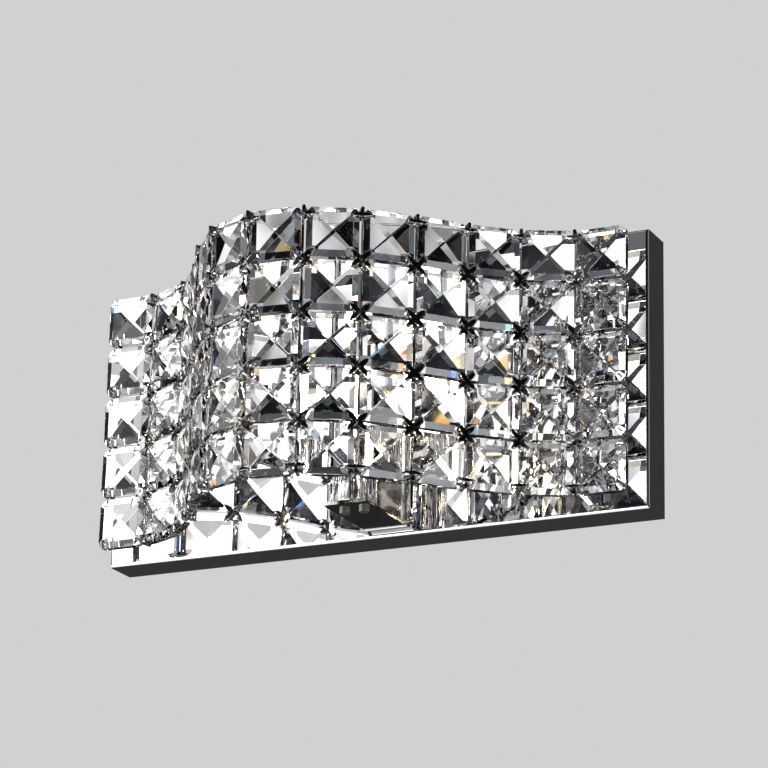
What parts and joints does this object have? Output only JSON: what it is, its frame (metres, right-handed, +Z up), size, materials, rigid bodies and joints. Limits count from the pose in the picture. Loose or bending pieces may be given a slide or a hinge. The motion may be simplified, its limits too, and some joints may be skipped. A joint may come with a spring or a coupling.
{
  "type": "wall sconce",
  "caption": "Wall light with a waved curtain of clipped square cut crystals on a polished tray, and an upright pin lamp in a cup on a bent arm behind it.",
  "frame": {"origin": "centre of the wall bracket's back, on the wall plane behind the middle of the tray", "axes": "+X to the viewer's right, -Y out from the wall towards the room, +Z up"},
  "size_m": [0.3118, 0.1339, 0.15],
  "materials": {
    "crystal": "clear cut lead-free crystal, polished facets",
    "clip_chrome": "polished plate",
    "tray_mirror": "mirror polished",
    "arm_chrome": "polished, darker reflections",
    "chrome": "polished",
    "zinc_steel": "zinc plated",
    "brass": "plain brass",
    "socket_ceramic": "glazed steatite",
    "bulb_ceramic": "matt ceramic",
    "bulb_glass": "clear quartz",
    "filament": "tungsten coil, lit",
    "pin_wire": "nickel wire",
    "terminal_plastic": "moulded white",
    "grommet_rubber": "soft black",
    "lead_brown": "silicone sleeve",
    "lead_blue": "silicone sleeve",
    "lead_green": "insulated lead"
  },
  "bodies": {
    "root": {"arm_nuts": "zinc_steel", "arm_screws": "zinc_steel", "back_tray": "tray_mirror", "bracket_studs": "zinc_steel", "bulb_base": "bulb_ceramic", "bulb_filament": "filament", "bulb_glass": "bulb_glass", "bulb_pins": "pin_wire", "cable_grommet": "grommet_rubber", "clip_line_01": "clip_chrome", "clip_line_02": "clip_chrome", "clip_line_03": "clip_chrome", "clip_line_04": "clip_chrome", "clip_line_05": "clip_chrome", "clip_line_06": "clip_chrome", "clip_line_07": "clip_chrome", "clip_line_08": "clip_chrome", "clip_line_09": "clip_chrome", "clip_line_10": "clip_chrome", "clip_line_11": "clip_chrome", "clip_line_12": "clip_chrome", "crystal_column_01": "crystal", "crystal_column_02": "crystal", "crystal_column_03": "crystal", "crystal_column_04": "crystal", "crystal_column_05": "crystal", "crystal_column_06": "crystal", "crystal_column_07": "crystal", "crystal_column_08": "crystal", "crystal_column_09": "crystal", "crystal_column_10": "crystal", "crystal_column_11": "crystal", "crystal_column_12": "crystal", "crystal_column_13": "crystal", "earth_lead": "lead_green", "earth_nut": "zinc_steel", "earth_stud": "zinc_steel", "earth_tag": "brass", "lamp_arm": "arm_chrome", "lamp_cup": "chrome", "lamp_lead_live": "lead_brown", "lamp_lead_neutral": "lead_blue", "lamp_socket": "socket_ceramic", "post_caps": "chrome", "post_nuts": "zinc_steel", "posts": "chrome", "socket_screws": "zinc_steel", "terminal_block": "terminal_plastic", "terminal_fixing": "brass", "terminal_screws": "brass", "tray_cap_nuts": "chrome", "wall_bracket": "zinc_steel"}
  },
  "joints": []
}
